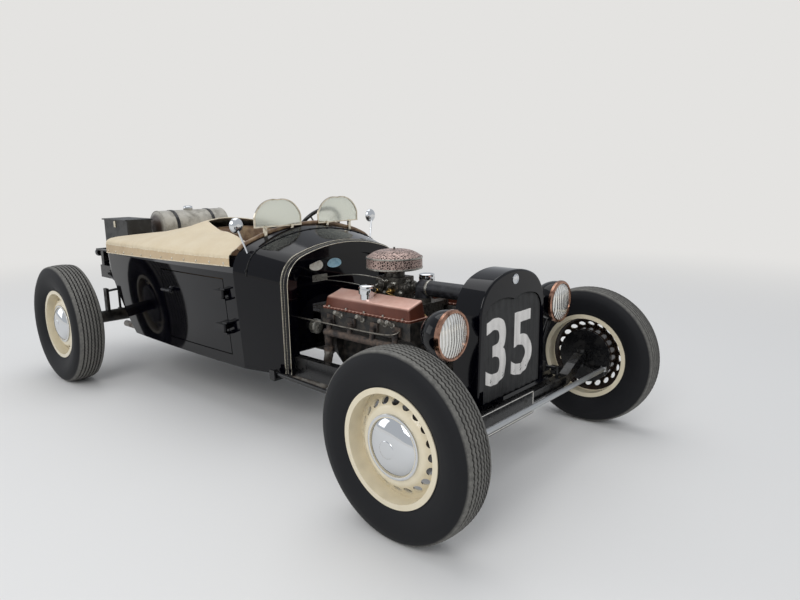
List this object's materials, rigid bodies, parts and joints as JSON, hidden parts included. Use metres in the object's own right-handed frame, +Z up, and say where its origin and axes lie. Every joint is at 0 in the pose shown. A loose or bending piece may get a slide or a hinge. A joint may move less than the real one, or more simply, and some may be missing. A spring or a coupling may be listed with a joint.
{
  "type": "street rod roadster",
  "caption": "Open two seat roadster with an exposed V8 engine, slatted radiator grille, dropped front axle, steel wheels and a canvas cover over the rear of the cockpit",
  "frame": {"origin": "on the ground, halfway along the car, on its centre line", "axes": "X runs forward to the radiator, Y to the car's left, Z up"},
  "size_m": [3.7558, 1.7422, 1.1828],
  "materials": {
    "body_black": "high gloss",
    "chassis_black": "satin",
    "wheel_cream": "gloss",
    "tyre_black": "matte",
    "canvas_tan": "matte",
    "seat_leather": "satin",
    "tank_grey": "satin",
    "box_black": "matte",
    "engine_iron": "satin",
    "cover_copper": "satin",
    "intake_metal": "satin",
    "cleaner_metal": "satin",
    "manifold_iron": "matte",
    "exhaust_steel": "satin",
    "hose_rubber": "satin",
    "core_black": "matte",
    "rod_steel": "satin",
    "rim_copper": "polished",
    "bright_metal": "polished",
    "lens_glass": "fluted",
    "clear_glass": "clear",
    "wheel_black": "gloss"
  },
  "bodies": {
    "car": {"cowl": "body_black", "firewall": "body_black", "tub": "body_black", "radiator_shell": "body_black", "floor": "chassis_black", "frame": "chassis_black", "front_axle": "chassis_black", "leaf_springs": "chassis_black", "shock_absorbers": "chassis_black", "rear_axle": "chassis_black", "rear_rack": "chassis_black", "headlamps": "chassis_black", "steering_column": "chassis_black", "grille": "chassis_black", "seat_base": "chassis_black", "tonneau_cover": "canvas_tan", "seat_cushions": "seat_leather", "fuel_tank": "tank_grey", "battery_box": "box_black", "engine_block": "engine_iron", "engine_front": "engine_iron", "valve_covers": "cover_copper", "intake": "intake_metal", "air_cleaner": "cleaner_metal", "exhaust_manifolds": "manifold_iron", "exhaust_pipes": "exhaust_steel", "radiator_hoses": "hose_rubber", "radiator_core": "core_black", "radius_rods": "rod_steel", "lamp_rims": "rim_copper", "screen_frames": "bright_metal", "mirrors": "bright_metal", "controls": "bright_metal", "lamp_lenses": "lens_glass", "screen_glass": "clear_glass"},
    "knuckle_right": {"knuckle_right": "chassis_black"},
    "knuckle_left": {"knuckle_left": "chassis_black"},
    "wheel_front_right": {"wheel_front_right": "wheel_cream", "tyre_front_right": "tyre_black"},
    "wheel_front_left": {"wheel_front_left": "wheel_cream", "tyre_front_left": "tyre_black"},
    "wheel_rear_right": {"wheel_rear_right": "wheel_cream", "tyre_rear_right": "tyre_black"},
    "wheel_rear_left": {"wheel_rear_left": "wheel_cream", "tyre_rear_left": "tyre_black"},
    "tie_rod": {"tie_rod": "rod_steel"},
    "pitman_arm": {"pitman_arm": "chassis_black"},
    "drag_link": {"drag_link": "chassis_black"},
    "steering_wheel": {"steering_wheel": "wheel_black"},
    "door_right": {"door_right": "body_black"},
    "door_left": {"door_left": "body_black"}
  },
  "joints": [
    {"name": "steer_right", "type": "hinge", "parent": "car", "child": "knuckle_right", "pos_m": [1.522, -0.655, 0.356], "axis": [0, 0, 1], "range_deg": [-28, 28]},
    {"name": "steer_left", "type": "hinge", "parent": "car", "child": "knuckle_left", "pos_m": [1.522, 0.655, 0.356], "axis": [0, 0, 1], "range_deg": [-28, 28]},
    {"name": "tie_rod_turn", "type": "hinge", "parent": "knuckle_right", "child": "tie_rod", "pos_m": [1.647, -0.655, 0.318], "axis": [0, 0, 1], "range_deg": [-28, 28]},
    {"name": "pitman_turn", "type": "hinge", "parent": "car", "child": "pitman_arm", "pos_m": [1.242, 0.405, 0.33], "axis": [0, 0, 1], "range_deg": [-28, 28]},
    {"name": "drag_link_turn", "type": "hinge", "parent": "pitman_arm", "child": "drag_link", "pos_m": [1.117, 0.405, 0.254], "axis": [0, 0, 1], "range_deg": [-28, 28]},
    {"name": "steering_wheel_turn", "type": "hinge", "parent": "car", "child": "steering_wheel", "pos_m": [-0.046, 0.25, 0.98], "axis": [-0.8192, 0, 0.5736], "range_deg": [-336, 336]},
    {"name": "door_right_hinge", "type": "hinge", "parent": "car", "child": "door_right", "pos_m": [0.084, -0.52528, 0.61], "axis": [0, 0, 1], "range_deg": [0, 65]},
    {"name": "door_left_hinge", "type": "hinge", "parent": "car", "child": "door_left", "pos_m": [0.084, 0.52528, 0.61], "axis": [0, 0, -1], "range_deg": [0, 65]},
    {"name": "wheel_front_right_spin", "type": "hinge", "parent": "knuckle_right", "child": "wheel_front_right", "pos_m": [1.522, -0.747, 0.356], "axis": [0, 1, 0], "continuous": true},
    {"name": "wheel_front_left_spin", "type": "hinge", "parent": "knuckle_left", "child": "wheel_front_left", "pos_m": [1.522, 0.747, 0.356], "axis": [0, 1, 0], "continuous": true},
    {"name": "wheel_rear_right_spin", "type": "hinge", "parent": "car", "child": "wheel_rear_right", "pos_m": [-1.378, -0.78, 0.381], "axis": [0, 1, 0], "continuous": true},
    {"name": "wheel_rear_left_spin", "type": "hinge", "parent": "car", "child": "wheel_rear_left", "pos_m": [-1.378, 0.78, 0.381], "axis": [0, 1, 0], "continuous": true}
  ],
  "couplings": [
    {"joint": "steer_left", "follows": "steer_right", "ratio": 1},
    {"joint": "tie_rod_turn", "follows": "steer_right", "ratio": -1},
    {"joint": "pitman_turn", "follows": "steer_right", "ratio": 1},
    {"joint": "drag_link_turn", "follows": "steer_right", "ratio": -1},
    {"joint": "steering_wheel_turn", "follows": "steer_right", "ratio": 12}
  ]
}
